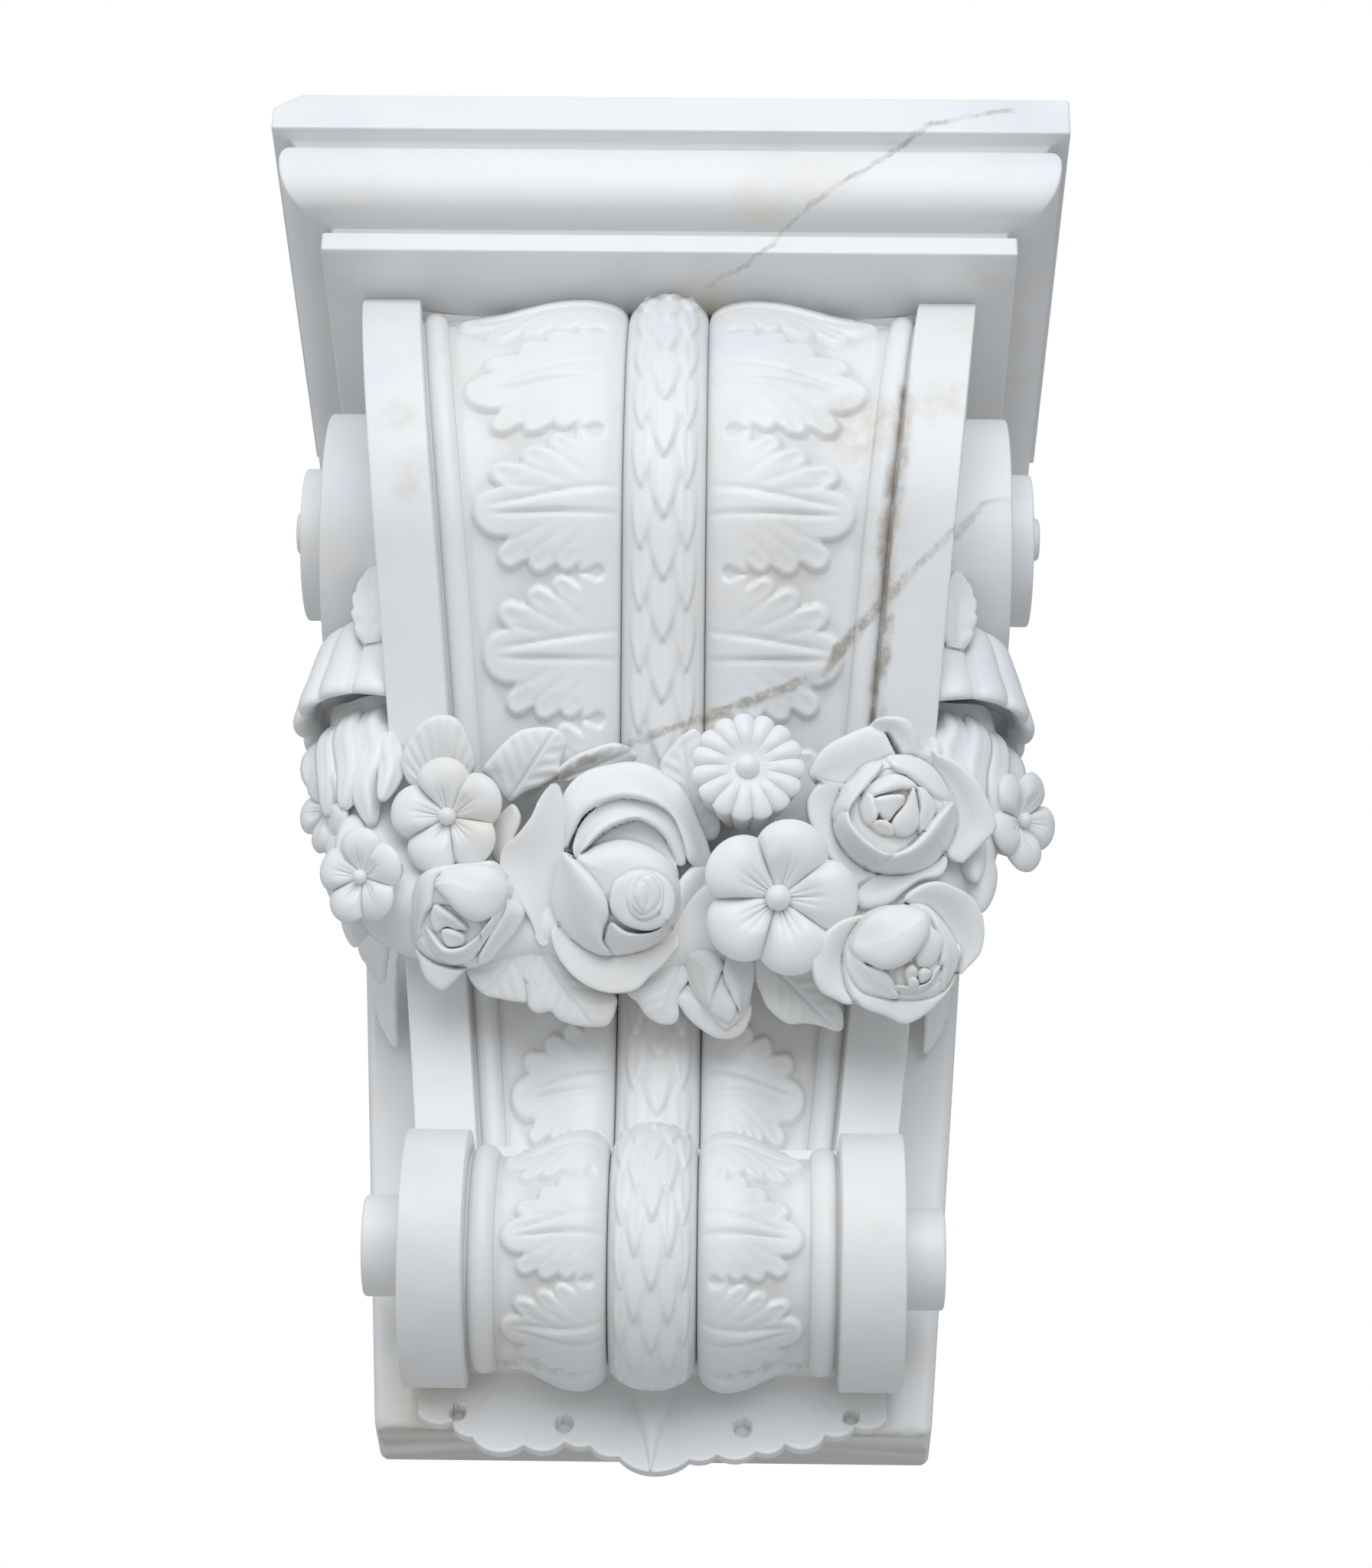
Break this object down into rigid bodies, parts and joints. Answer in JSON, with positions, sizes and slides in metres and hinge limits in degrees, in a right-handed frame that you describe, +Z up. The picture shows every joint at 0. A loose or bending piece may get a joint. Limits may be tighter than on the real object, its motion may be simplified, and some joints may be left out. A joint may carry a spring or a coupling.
{
  "type": "corbel",
  "caption": "Carved white marble scroll corbel with a moulded abacus, acanthus and laurel face, rose garland and back plate, built into a wall to carry a shelf or beam.",
  "frame": {"origin": "middle of the flat back that goes against the wall, at mid height", "axes": "+Z up, +Y into the wall, +X to the right as seen from the front"},
  "size_m": [0.44, 0.295, 0.72],
  "materials": {
    "marble": "honed white marble with grey-brown veins"
  },
  "bodies": {
    "root": {"corbel": "marble"}
  },
  "joints": []
}
